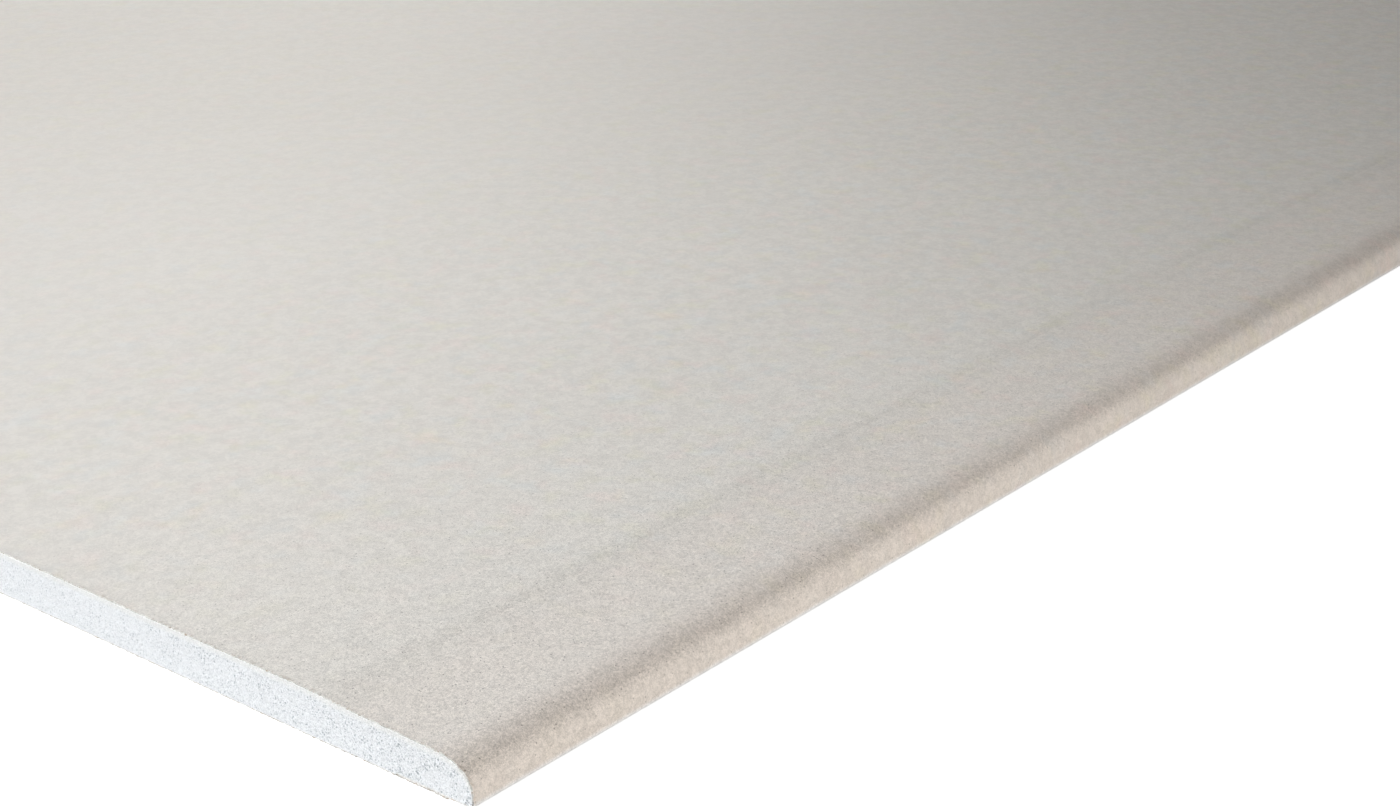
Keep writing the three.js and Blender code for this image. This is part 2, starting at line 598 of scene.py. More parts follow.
@dataclass(frozen=True)
class LinerFinish:
    """Recycled paper: a felt of short fibres with dark flecks and faint patches of other pulps.

    The fibres stand out most at the corners and calm down over the rest of the sheet.

    Attributes:
        name: Name of the material.
        tone: Its middle colour.
        band_tone: Its colour on the tapered bands.
        edge_tone: Its colour on the rounded long edges.
        heel_tone: Its colour on the heels: a paler painted light that stands in for the light thrown up
            by the white floor.
        half_length: Distance from the sheet's middle to its sawn ends.
        half_width: Distance from the sheet's middle line to its long edges.
        fibre: Width of the fibres' curls.
        mottle: Strength of their light and dark.
        pulp: Strength of the patches of other pulps.
        flecks: Share of the cells that hold a dark fleck.
        crease: Strength of the painted shade along the crease at the inner side of the tapered band.
        fleck_tone: Colour of the flecks.
        scuff_tone: Colour of the fibres that the saw has laid bare.
        nap: Depth of the fibres' relief.
    """

    name: str
    tone: Colour
    band_tone: Colour
    edge_tone: Colour
    heel_tone: Colour
    half_length: float
    half_width: float
    fibre: float = 0.5 * MM
    mottle: float = 0.27
    pulp: float = 0.40
    flecks: float = 0.36
    crease: float = 1.0
    fleck_tone: Colour = (0.15, 0.13, 0.12)
    scuff_tone: Colour = (0.42, 0.35, 0.29)
    nap: float = 0.004 * MM

    def ground(self, recipe: Recipe, edge: Socket) -> Socket:
        """Returns the paper's colour without its fibres.

        Args:
            recipe: The material's recipe.
            edge: Distance in from the nearer long edge.

        Returns:
            The socket that gives it.
        """
        at_band = recipe.between(edge, 34 * MM, 50 * MM, 1.0, 0.0)
        at_edge = recipe.between(edge, 3 * MM, 16 * MM, 1.0, 0.0)
        outermost = recipe.between(edge, 1.0 * MM, 1.6 * MM, 1.0, 0.0)
        colour = recipe.blend(at_band, self.tone, self.band_tone)
        colour = recipe.blend(at_edge, colour, self.edge_tone)
        # Painted light: the heels turn paler, in place of the light that the white floor throws up onto
        # them.
        return recipe.blend(recipe.product(recipe.low_down(), outermost), colour, self.heel_tone)

    def felt(self, recipe: Recipe, fibres: Socket, clumping: Socket) -> Socket:
        """Returns the light and dark of the fibres.

        Args:
            recipe: The material's recipe.
            fibres: Strength of the fibres at each place.
            clumping: Strength of their clumps at each place.

        Returns:
            The socket that gives it.
        """
        tufts = recipe.noise(self.fibre, detail=2.0, roughness=0.7, twist=1.5)
        curls = recipe.noise(1.5 * self.fibre, detail=1.0, roughness=0.5, twist=3.5, shift=3.0)
        hairs = recipe.noise(1.8 * self.fibre, detail=1.0, roughness=0.5, twist=4.0, shift=5.0)
        clumps = recipe.noise(4.5 * self.fibre, detail=1.0, roughness=0.6, twist=1.0, shift=4.0)
        fine = recipe.total(
            recipe.between(tufts, -0.4, 0.4, -0.62, 0.62),
            recipe.between(recipe.maths("ABSOLUTE", curls), 0.02, 0.10, -1.2, 0.15),
            recipe.between(recipe.maths("ABSOLUTE", hairs), 0.02, 0.10, 1.1, -0.14),
        )
        coarse = recipe.between(clumps, -0.5, 0.5, -0.18, 0.18)
        felt = recipe.total(recipe.product(fine, fibres), recipe.product(coarse, clumping))
        return recipe.product(felt, self.mottle)

    def clouds(self, recipe: Recipe, strength: Socket) -> Socket:
        """Returns the broader changes of tone.

        Args:
            recipe: The material's recipe.
            strength: Strength of the smaller clouds at each place.

        Returns:
            The socket that gives it.
        """
        small = recipe.noise(6 * MM, detail=2.0, roughness=0.6, shift=7.0)
        large = recipe.noise(60 * MM, detail=2.0, roughness=0.5, shift=11.0)
        return recipe.total(
            recipe.product(recipe.between(small, -0.6, 0.6, -0.030, 0.030), strength),
            recipe.product(large, 0.008),
        )

    def painted_crease_shade(self, recipe: Recipe, edge: Socket) -> Socket:
        """Returns the painted shade along the crease at the inner side of the tapered band.

        The shade falls steeply on the band's side of the crease and fades slowly on the face's.

        Args:
            recipe: The material's recipe.
            edge: Distance in from the nearer long edge.

        Returns:
            The socket that gives it, zero away from the crease.
        """
        waver = recipe.noise(45 * MM, detail=1.0, shift=15.0)
        place = recipe.maths("MULTIPLY_ADD", waver, 0.35 * MM, edge)
        steep = recipe.between(place, 44.2 * MM, 45.4 * MM)
        slow = recipe.between(place, 45.0 * MM, 51.5 * MM, 1.0, 0.0)
        begin = recipe.between(place, 38.0 * MM, 41.0 * MM)
        end = recipe.between(place, 43.4 * MM, 45.0 * MM, 1.0, 0.0)
        shade = recipe.total(recipe.product(steep, slow, -0.055), recipe.product(begin, end, -0.024))
        strength = recipe.maths("MULTIPLY_ADD", waver, 0.25 * self.crease, self.crease)
        return recipe.product(shade, strength)

    def painted_round_shade(self, recipe: Recipe, edge: Socket, end: Socket) -> Socket:
        """Returns the painted shade on the upper part of the round, which deepens away from the sawn
        ends.

        Args:
            recipe: The material's recipe.
            edge: Distance in from the nearer long edge.
            end: Distance in from the nearer sawn end.

        Returns:
            The socket that gives it, zero away from the round.
        """
        begin = recipe.between(edge, 1.0 * MM, 4.0 * MM)
        stop = recipe.between(edge, 6.0 * MM, 11.0 * MM, 1.0, 0.0)
        return recipe.product(begin, stop, recipe.between(end, 250 * MM, 600 * MM, -0.055, -0.16))

    def scuffs(self, recipe: Recipe, end: Socket) -> Socket:
        """Returns how far the saw has laid the fibres bare, from 0 to 1.

        Args:
            recipe: The material's recipe.
            end: Distance in from the nearer sawn end.

        Returns:
            The socket that gives it, zero away from the sawn ends.
        """
        bits = recipe.noise(1.1 * MM, detail=2.0, roughness=0.6, shift=17.0)
        reach = recipe.between(end, 0.4 * MM, 1.6 * MM, 0.5, 0.0)
        return recipe.product(recipe.between(bits, 0.15, 0.5), reach)

    def pulps(self, recipe: Recipe, colour: Socket, strength: Socket) -> Socket:
        """Returns the colour with its faint red, yellow and blue patches.

        Args:
            recipe: The material's recipe.
            colour: The colour without them.
            strength: Strength of the patches at each place.

        Returns:
            The socket that gives it.
        """
        red, yellow, blue = (1.09, 0.97, 0.97), (1.0, 1.01, 0.85), (0.93, 1.01, 1.08)
        for shift, tint in ((21.0, red), (22.0, yellow), (23.0, blue)):
            patches = recipe.noise(11 * MM, detail=2.0, roughness=0.6, shift=shift)
            share = recipe.product(recipe.between(patches, 0.0, 1.1, 0.0, self.pulp), strength)
            colour = recipe.blend(share, colour, recipe.tinted(colour, tint))
        return colour

    def fleck_cover(self, recipe: Recipe, fibres: Socket) -> Socket:
        """Returns how far the dark flecks cover the paper, from 0 to 1.

        Args:
            recipe: The material's recipe.
            fibres: Strength of the fibres at each place.

        Returns:
            The socket that gives it.
        """
        distance, number = recipe.cells(1.3 * MM)
        inside = recipe.between(distance, 0.09, 0.19, 1.0, 0.0)
        chosen = recipe.maths("LESS_THAN", number, self.flecks)
        return recipe.product(inside, chosen, fibres, 0.85)

    def material(self) -> bpy.types.Material:
        """Lays the finish out as a material.

        Returns:
            The material.
        """
        recipe = Recipe(self.name)
        edge = recipe.inwards(self.half_width, recipe.y)
        end = recipe.inwards(self.half_length, recipe.x)
        from_corner = recipe.maths("MULTIPLY_ADD", end, 0.3, edge)
        near = recipe.between(from_corner, -10 * MM, 245 * MM, 1.08, 0.09)
        far = recipe.between(edge, 120 * MM, 360 * MM, 1.0, 0.54)
        fibres = recipe.product(near, far, far, recipe.between(edge, 0.3 * MM, 2.5 * MM, 0.65, 1.0))
        clumping = recipe.product(far, recipe.maths("MULTIPLY_ADD", near, 0.5, 0.5))
        clouding = recipe.product(far, recipe.maths("MULTIPLY_ADD", near, -0.6, 1.0))
        change = recipe.total(
            self.felt(recipe, fibres, clumping),
            self.clouds(recipe, clouding),
            recipe.between(end, 0.5 * MM, 4.0 * MM, -0.028, 0.0),
            # Painted shade along the crease of the tapered band.
            self.painted_crease_shade(recipe, edge),
            # Painted shade on the upper part of the round, deeper away from the sawn ends.
            self.painted_round_shade(recipe, edge, end),
        )
        colour = recipe.shaded(self.ground(recipe, edge), change)
        colour = recipe.blend(self.scuffs(recipe, end), colour, self.scuff_tone)
        from_sides = recipe.between(recipe.total(edge, end), 30 * MM, 260 * MM, 0.2, 1.0)
        colour = self.pulps(recipe, colour, recipe.product(from_sides, far))
        colour = recipe.blend(self.fleck_cover(recipe, fibres), colour, self.fleck_tone)
        fuzz = recipe.noise(self.fibre, detail=1.0, roughness=0.7, shift=13.0)
        return recipe.matt(colour, 0.9, recipe.relief(fuzz, self.nap))


@dataclass(frozen=True)
class TornFinish:
    """The sawn edge of a liner: pale plies, brown where they are bare, with their own colour low down.

    Attributes:
        name: Name of the material.
        plies: Colour of the plies.
        low_ply_tone: Colour of the plies low down.
        bare: Colour of the bare fibres.
        bare_share: Share of the edge that is bare, from 0 to 1.
    """

    name: str
    plies: Colour
    low_ply_tone: Colour
    bare: Colour
    bare_share: float

    def material(self) -> bpy.types.Material:
        """Lays the finish out as a material.

        Returns:
            The material.
        """
        recipe = Recipe(self.name)
        patches = recipe.noise(1.5 * MM, detail=3.0, roughness=0.7, shift=5.0)
        lowest_bare = 0.9 - 1.8 * self.bare_share
        share = recipe.between(patches, lowest_bare, lowest_bare + 0.3)
        fibres = recipe.noise(0.35 * MM, detail=2.0, roughness=0.6, shift=9.0)
        plies = recipe.blend(recipe.low_down(), self.plies, self.low_ply_tone)
        colour = recipe.blend(share, plies, self.bare)
        colour = recipe.shaded(colour, recipe.between(fibres, -0.4, 0.4, -0.22, 0.08))
        normal = recipe.relief(fibres, 0.03 * MM)
        return recipe.matt(colour, 0.95, normal)


@dataclass(frozen=True)
class GypsumFinish:
    """Set gypsum as a saw leaves it: white with a blue cast, full of small grey air pores.

    Attributes:
        name: Name of the material.
        tone: Colour of the plaster.
        pore_tone: Colour at the bottom of a pore.
        rim_tone: Colour of the denser plaster against the liners.
        half_width: Distance from the sheet's middle line to its long edges.
        evenness: How much less the pores stand out away from the corners, from 0 to 1.
    """

    name: str
    tone: Colour
    pore_tone: Colour
    rim_tone: Colour
    half_width: float
    evenness: float = 0.45

    def pores(self, recipe: Recipe, size: float, share: float, radius: float) -> Socket:
        """Returns one size of pores: up to 1 inside a pore, by its depth, and 0 outside.

        Args:
            recipe: The material's recipe.
            size: Size of the cells, one pore at most in each.
            share: Share of the cells that hold a pore.
            radius: Radius of a pore in cell sizes.

        Returns:
            The socket that gives it.
        """
        distance, number = recipe.cells(size)
        inside = recipe.between(distance, 0.5 * radius, 1.3 * radius, 1.0, 0.0)
        depth = recipe.between(number, 0.0, share, 1.0, 0.0)
        return recipe.product(inside, depth)

    def material(self) -> bpy.types.Material:
        """Lays the finish out as a material.

        Returns:
            The material.
        """
        recipe = Recipe(self.name)
        edge = recipe.inwards(self.half_width, recipe.y)
        even = recipe.between(edge, 10 * MM, 150 * MM, 0.0, self.evenness)
        contrast = recipe.maths("SUBTRACT", 1.0, even)
        rim = recipe.node("ShaderNodeAttribute", attribute_name="rim").outputs["Fac"]
        at_rim = recipe.between(rim, 0.5 * MM, 1.9 * MM, 1.0, 0.0)
        clouds = recipe.noise(3.0 * MM, detail=2.0, roughness=0.6, shift=1.0)
        grains = recipe.noise(0.3 * MM, detail=2.0, roughness=0.6, shift=2.0)
        crowd = recipe.between(clouds, -0.6, 0.6, 0.45, 1.35)
        small = self.pores(recipe, size=0.45 * MM, share=0.8, radius=0.42)
        large = self.pores(recipe, size=0.95 * MM, share=0.7, radius=0.32)
        inner = recipe.maths("MULTIPLY_ADD", at_rim, -0.85, 1.0)
        pore = recipe.product(recipe.maths("MAXIMUM", small, large), inner)
        change = recipe.total(
            recipe.product(clouds, 0.012),
            recipe.product(recipe.between(grains, -0.4, 0.4, -0.11, 0.11), contrast),
            recipe.product(even, -0.14),
        )
        colour = recipe.shaded(recipe.blend(at_rim, self.tone, self.rim_tone), change)
        colour = recipe.blend(recipe.product(pore, crowd, 0.9, contrast), colour, self.pore_tone)
        height = recipe.total(recipe.product(grains, 0.3), recipe.product(pore, -1.0))
        return recipe.matt(colour, 0.95, recipe.relief(height, 0.05 * MM))


# ---------------------------------------------------------------------------------------------------
# Pieces
# ---------------------------------------------------------------------------------------------------


@dataclass(frozen=True)
class AcrossGrid:
    """Places across the sheet, close together near the low-Y edge and further apart beyond.

    Attributes:
        fine_reach: How far from the low-Y edge the close places go.
        fine_step: Distance between the close places.
        coarse_step: Distance between the others.
    """

    fine_reach: float
    fine_step: float
    coarse_step: float

    def places(self, start: float, stop: float, low_edge: float) -> np.ndarray:
        """Returns Y from start to stop, both included.

        Args:
            start: First place.
            stop: Last place.
            low_edge: Y of the low-Y edge.

        Returns:
            The places.
        """
        turn = low_edge + self.fine_reach
        close = spaced(start, turn, self.fine_step)[:-1]
        return np.concatenate([close, spaced(turn, stop, self.coarse_step)])


FACE_GRID = AcrossGrid(fine_reach=170 * MM, fine_step=0.3 * MM, coarse_step=1.6 * MM)


@dataclass(frozen=True)
class SawCut:
    """Relief of a sawn end: the saw's faint waves, the plaster's grain and the air pits.

    Attributes:
        seed: Seed of this end's noise.
        mean: Mean depth of the plaster behind the end's outermost point.
        waves: Height of the saw's waves.
        grain: Height of the plaster's grain.
        tooth: Height of its finest roughness.
        pits: Share of the pits' full depth that the saw leaves.
        shallowest: Least depth.
        deepest: Greatest depth.
    """

    seed: int
    mean: float = 0.10 * MM
    waves: float = 0.04 * MM
    grain: float = 0.045 * MM
    tooth: float = 0.03 * MM
    pits: float = 0.8
    shallowest: float = 0.02 * MM
    deepest: float = 0.6 * MM

    def depth(self, y: np.ndarray, z: np.ndarray) -> np.ndarray:
        """Returns how far the end lies behind its outermost point.

        It is the sum of the mean, the waves, the grain, the tooth and the pits, which are bowls.

        Args:
            y: Y of each point.
            z: Z of each point.

        Returns:
            Depths from the least to the greatest.
        """
        waves = ValueNoise(self.seed, 14 * MM).at(y, z)
        grain = ValueNoise(self.seed + 1, 0.9 * MM).at(y, z)
        tooth = ValueNoise(self.seed + 2, 0.35 * MM).at(y, z)
        pits = PitField(
            self.seed + 3, cell=1.1 * MM, share=0.35, smallest=0.2 * MM, largest=0.45 * MM
        ).depth(y, z)
        plaster = self.mean + self.waves * waves + self.grain * grain + self.tooth * tooth
        return np.clip(plaster + self.pits * pits, self.shallowest, self.deepest)


@dataclass
class GypsumCore:
    """The gypsum core, with its sawn ends worked out to the single pit.

    Attributes:
        section: The sheet's section.
        length: Length of the sheet.
        rows: Rows of vertices between the liners on a sawn end.
        nose_columns: Columns of vertices in each of its rounded noses.
        bond_gap: Gap between the core and the liners.
        low_cut: Relief of the end at low X.
        high_cut: Relief of the end at high X.
    """

    section: BoardSection
    length: float
    rows: int = 34
    nose_columns: int = 34
    bond_gap: float = 0.02 * MM
    low_cut: SawCut = SawCut(seed=11)
    high_cut: SawCut = SawCut(seed=31)

    def columns(self) -> np.ndarray:
        """Returns Y of each column: closer together towards both outermost lines by a cosine.

        Returns:
            The places.
        """
        half = self.section.width / 2
        nose = self.section.round_width
        tip = self.section.face_paper + self.bond_gap
        turn = tip + (nose - tip) * (1 - np.cos(np.linspace(0, math.pi / 2, self.nose_columns)))
        middle = FACE_GRID.places(-half + nose, half - nose, -half)
        return np.concatenate([-half + turn[:-1], middle, half - turn[-2::-1]])

    def build(self) -> bpy.types.Object:
        """Builds the core: two sawn ends joined by its long sides.

        An end is a grid over the column y and the share s of the height: z = lower + s (upper - lower).

        Returns:
            The core's object.
        """
        half = self.section.width / 2
        y = self.columns()
        lower, upper = self.section.core_heights(half - np.abs(y))
        lower, upper = lower + self.bond_gap, upper - self.bond_gap
        share = np.linspace(0, 1, self.rows)[:, None]
        z = lower + share * (upper - lower)
        y = np.broadcast_to(y, z.shape)
        low_end = np.stack([-self.length / 2 + self.low_cut.depth(y, z), y, z], axis=-1)
        high_end = np.stack([self.length / 2 - self.high_cut.depth(y, z), y, z], axis=-1)
        shell = Shell(np.concatenate([low_end.reshape(-1, 3), high_end.reshape(-1, 3)]))
        low = np.arange(z.size).reshape(z.shape)
        high = low + z.size
        shell.add_grid(low)
        shell.add_grid(high[:, ::-1])
        border_low = np.concatenate([low[0, :], low[1:, -1], low[-1, -2::-1], low[-2::-1, 0]])
        shell.add_grid(np.stack([border_low + z.size, border_low]))
        core = shell.to_object("gypsum_core_sawn")
        rim = np.minimum(upper - z, 3 * (z - lower) + 0.5 * MM)
        write_attribute(core, "rim", np.concatenate([rim.ravel(), rim.ravel()]))
        return core

    def dress(self, core: bpy.types.Object) -> None:
        """Gives the core its finish and its place in the frame.

        Args:
            core: The core's object.
        """
        finish = GypsumFinish(
            "sawn_gypsum",
            tone=(0.868, 0.886, 0.902),
            pore_tone=(0.27, 0.31, 0.34),
            rim_tone=(0.862, 0.868, 0.858),
            half_width=self.section.width / 2,
        )
        core.data.materials.append(finish.material())
        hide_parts("gypsum_core")
        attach(core, "root")


@dataclass(frozen=True)
class RaggedEnd:
    """How the end of a liner frays where the sheet is sawn.

    Attributes:
        seed: Seed of this end's noise.
        fray: Furthest that the end lies behind the sheet's own end.
        reach: How far from the end the liner follows the fray.
        stations: Distances from the end, in millimetres, at which a liner has its rows of vertices.
    """

    seed: int
    fray: float = 0.55 * MM
    reach: float = 3 * MM
    stations: tuple[float, ...] = (0.0, 0.25, 0.7, 1.5, 3.0, 8.0, 25.0, 80.0, 200.0, 450.0, 800.0)

    def offsets(self, along: np.ndarray, ply: float) -> np.ndarray:
        """Returns each station's distance from the sheet's end, for each place along the frayed line.

        The fray is the share (1 + noise) / 2 of its depth, and fades by a smoothstep over the reach.

        Args:
            along: Length along the liner's section at each place.
            ply: Depth of the ply in the liner, which frays a little in its own way.

        Returns:
            Distances in rows, one for each station.
        """
        broad = ValueNoise(self.seed, 2.2 * MM).at(along, ply)
        fine = ValueNoise(self.seed + 1, 0.5 * MM).at(along, 2 * ply)
        fray = self.fray * (0.5 + 0.14 * broad + 0.36 * fine)
        station = MM * np.array(self.stations)[:, None]
        return station + fray * (1 - smooth_step(station / self.reach))


def length_along(points: np.ndarray) -> np.ndarray:
    """Returns the length along a line of points, from its first one."""
    steps = np.linalg.norm(np.diff(points, axis=0), axis=1)
    return np.concatenate([[0.0], np.cumsum(steps)])


@dataclass
class Liner(ABC):
    """A sheet of paper on the core: a thin closed shell of even thickness, frayed at both ends.

    Attributes:
        name: Name of the piece.
        section: The sheet's section.
        length: Length of the sheet.
        paper: Thickness of the paper.
        low_end: How the end at low X frays.
        high_end: How the end at high X frays.
        inner_ply: Depth in the paper at which the inner side frays.
    """

    name: str
    section: BoardSection
    length: float
    paper: float
    low_end: RaggedEnd
    high_end: RaggedEnd
    inner_ply: float = 0.7 * MM

    @abstractmethod
    def line(self, inset: float) -> np.ndarray:
        """Returns the paper's line across the sheet, as points (y, z), inset from its outer side."""

    @abstractmethod
    def dress(self, liner: bpy.types.Object) -> None:
        """Gives the liner its finishes and its place in the frame."""

    def surface(self, line: np.ndarray, along: np.ndarray, ply: float) -> np.ndarray:
        """Returns one side of the liner as a grid of points.

        The line is carried along X through the stations of both ends, which follow the frays.

        Args:
            line: The side's line across the sheet, as points (y, z).
            along: Length along the outer line at each of them.
            ply: Depth of this side in the paper.

        Returns:
            Points in rows along X and columns along the line.
        """
        low = -self.length / 2 + self.low_end.offsets(along, ply)
        high = self.length / 2 - self.high_end.offsets(along, ply)[::-1]
        x = np.concatenate([low, high])
        y = np.broadcast_to(line[:, 0], x.shape)
        z = np.broadcast_to(line[:, 1], x.shape)
        return np.stack([x, y, z], axis=-1)

    def build(self) -> bpy.types.Object:
        """Builds the liner: both sides, the sawn ends in slot 1 and the long edges.

        Returns:
            The liner's object.
        """
        outer_line = self.line(0.0)
        along = length_along(outer_line)
        outer = self.surface(outer_line, along, 0.0)
        inner = self.surface(self.line(self.paper), along, self.inner_ply)
        shell = Shell(np.concatenate([outer.reshape(-1, 3), inner.reshape(-1, 3)]))
        top = np.arange(outer[..., 0].size).reshape(outer.shape[:2])
        under = top + top.size
        shell.add_grid(top)
        shell.add_grid(under[:, ::-1])
        shell.add_grid(np.stack([under[0], top[0]]), slot=1)
        shell.add_grid(np.stack([top[-1], under[-1]]), slot=1)
        shell.add_grid(np.stack([top[:, 0], under[:, 0]]), slot=1)
        shell.add_grid(np.stack([under[:, -1], top[:, -1]]), slot=1)
        return shell.to_object(self.name)


class FaceLiner(Liner):
    """The face liner, which wraps both long edges and is folded under."""

    def line(self, inset: float) -> np.ndarray:
        """Returns the paper's line from one flap's end over the face to the other's.

        Args:
            inset: Distance inwards from the outer side.

        Returns:
            Points (y, z), as many for every inset.
        """
        half, taper = self.section.width / 2, self.section.taper_width
        edge = self.section.edge(inset, flap_step=2 * MM, band_step=0.5 * MM)
        flat = FACE_GRID.places(-half + taper, half - taper, -half)[1:-1]
        low_side = np.column_stack([edge[:, 0] - half, edge[:, 1]])
        middle = np.column_stack([flat, np.full_like(flat, self.section.thickness - inset)])
        high_side = np.column_stack([half - edge[::-1, 0], edge[::-1, 1]])
        return np.concatenate([low_side, middle, high_side])

    def dress(self, liner: bpy.types.Object) -> None:
        """Gives the face liner its finishes and its place in the frame.

        Args:
            liner: The liner's object.
        """
        felt = LinerFinish(
            "face_paper_felt",
            tone=(0.715, 0.690, 0.650),
            band_tone=(0.719, 0.680, 0.637),
            edge_tone=(0.662, 0.608, 0.566),
            # Painted light on the heels, in place of the white floor's bounce.
            heel_tone=(0.82, 0.82, 0.84),
            half_length=self.length / 2,
            half_width=self.section.width / 2,
        )
        torn = TornFinish(
            "face_paper_torn",
            plies=(0.765, 0.755, 0.725),
            low_ply_tone=(0.858, 0.842, 0.817),
            bare=(0.46, 0.39, 0.32),
            bare_share=0.32,
        )
        liner.data.materials.append(felt.material())
        liner.data.materials.append(torn.material())
        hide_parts("face_paper")
        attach(liner, "root")


class BackLiner(Liner):
    """The back liner, which laps over both flaps of the face liner."""

    def line(self, inset: float) -> np.ndarray:
        """Returns the paper's line from one bare strip to the other.

        Args:
            inset: Distance inwards from the outer side.

        Returns:
            Points (y, z), as many for every inset.
        """
        grid = AcrossGrid(fine_reach=170 * MM, fine_step=0.5 * MM, coarse_step=2.4 * MM)
        half, strip = self.section.width / 2, self.section.bare_strip
        y = grid.places(-half + strip, half - strip, -half)
        return np.column_stack([y, np.full_like(y, inset)])

    def dress(self, liner: bpy.types.Object) -> None:
        """Gives the back liner its finishes and its place in the frame.

        Args:
            liner: The liner's object.
        """
        brown, pale = (0.44, 0.37, 0.29), (0.72, 0.705, 0.67)
        felt = LinerFinish(
            "back_paper_felt",
            tone=brown,
            band_tone=brown,
            edge_tone=brown,
            heel_tone=brown,
            half_length=self.length / 2,
            half_width=self.section.width / 2,
            mottle=0.2,
            flecks=0.2,
            crease=0.0,
        )
        torn = TornFinish(
            "back_paper_torn", plies=pale, low_ply_tone=pale, bare=(0.50, 0.43, 0.35), bare_share=0.5
        )
        liner.data.materials.append(felt.material())
        liner.data.materials.append(torn.material())
        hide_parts("back_paper")
        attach(liner, "root")


# ---------------------------------------------------------------------------------------------------
# Studio
# ---------------------------------------------------------------------------------------------------


class Bearing(Enum):
    """Level directions in which a lamp shines, in degrees from +X towards +Y."""

    ALONG_THE_WIDTH = 90.0
    BACK_ALONG_THE_WIDTH = -90.0
    BACK_ALONG_THE_LENGTH = 180.0
    FROM_FAR_LEFT = -52.4

    def along(self, dip: float) -> Vector:
        """Returns the direction on this bearing at a dip.

        Args:
            dip: Angle by which the direction dips, in degrees.

        Returns:
            The direction.
        """
        turn, fall = math.radians(self.value), math.radians(dip)
        level = math.cos(fall)
        return Vector((math.cos(turn) * level, math.sin(turn) * level, -math.sin(fall)))

    def square_on(self) -> Vector:
        """Returns the level direction at a right angle to this one."""
        turn = math.radians(self.value)
        return Vector((-math.sin(turn), math.cos(turn), 0.0))


@dataclass(frozen=True)
class Softbox:
    """A flat lamp with a grid before it, which narrows its beam.

    Attributes:
        name: Name of the lamp.
        centre: Where it stands.
        beam: Direction in which it shines.
        long_side: Direction of its long side.
        size: Length and height of its face.
        power: Its power in watts.
        colour: Its colour.
        beam_angle: Full angle of its beam, in degrees.
    """

    name: str
    centre: Vector
    beam: Vector
    long_side: Vector
    size: tuple[float, float]
    power: float
    colour: Colour = (1.0, 1.0, 1.0)
    beam_angle: float = 180.0

    def build(self) -> None:
        """Sets the lamp up.

        A lamp shines along its own -Z. Its X is the long side, made square to the beam.
        """
        lamp = bpy.data.lights.new(self.name, "AREA")
        lamp.shape = "RECTANGLE"
        lamp.size, lamp.size_y = self.size
        lamp.energy = self.power
        lamp.color = self.colour
        lamp.spread = math.radians(self.beam_angle)
        holder = bpy.data.objects.new(self.name, lamp)
        back = -self.beam.normalized()
        right = (self.long_side - self.long_side.dot(back) * back).normalized()
        up = back.cross(right)
        axes = Matrix((right, up, back)).transposed().to_4x4()
        axes.translation = self.centre
        holder.matrix_world = axes
        holder.visible_camera = False
        bpy.context.scene.collection.objects.link(holder)


@dataclass(frozen=True)
class Viewpoint:
    """Where the camera stands and how it looks.

    Attributes:
        eye: Its place, set out from the sheet's near corner.
        heading: Bearing on which it looks, in degrees from +X towards +Y.
        dip: Angle by which it looks down, in degrees.
        lens: Focal length, in millimetres.
        sensor: Width of its picture, in millimetres.
    """

    eye: tuple[float, float, float] = (-0.34766, -0.34825, 0.29853)
    heading: float = 39.2568
    dip: float = 22.3785
    lens: float = 66.453
    sensor: float = 36.0


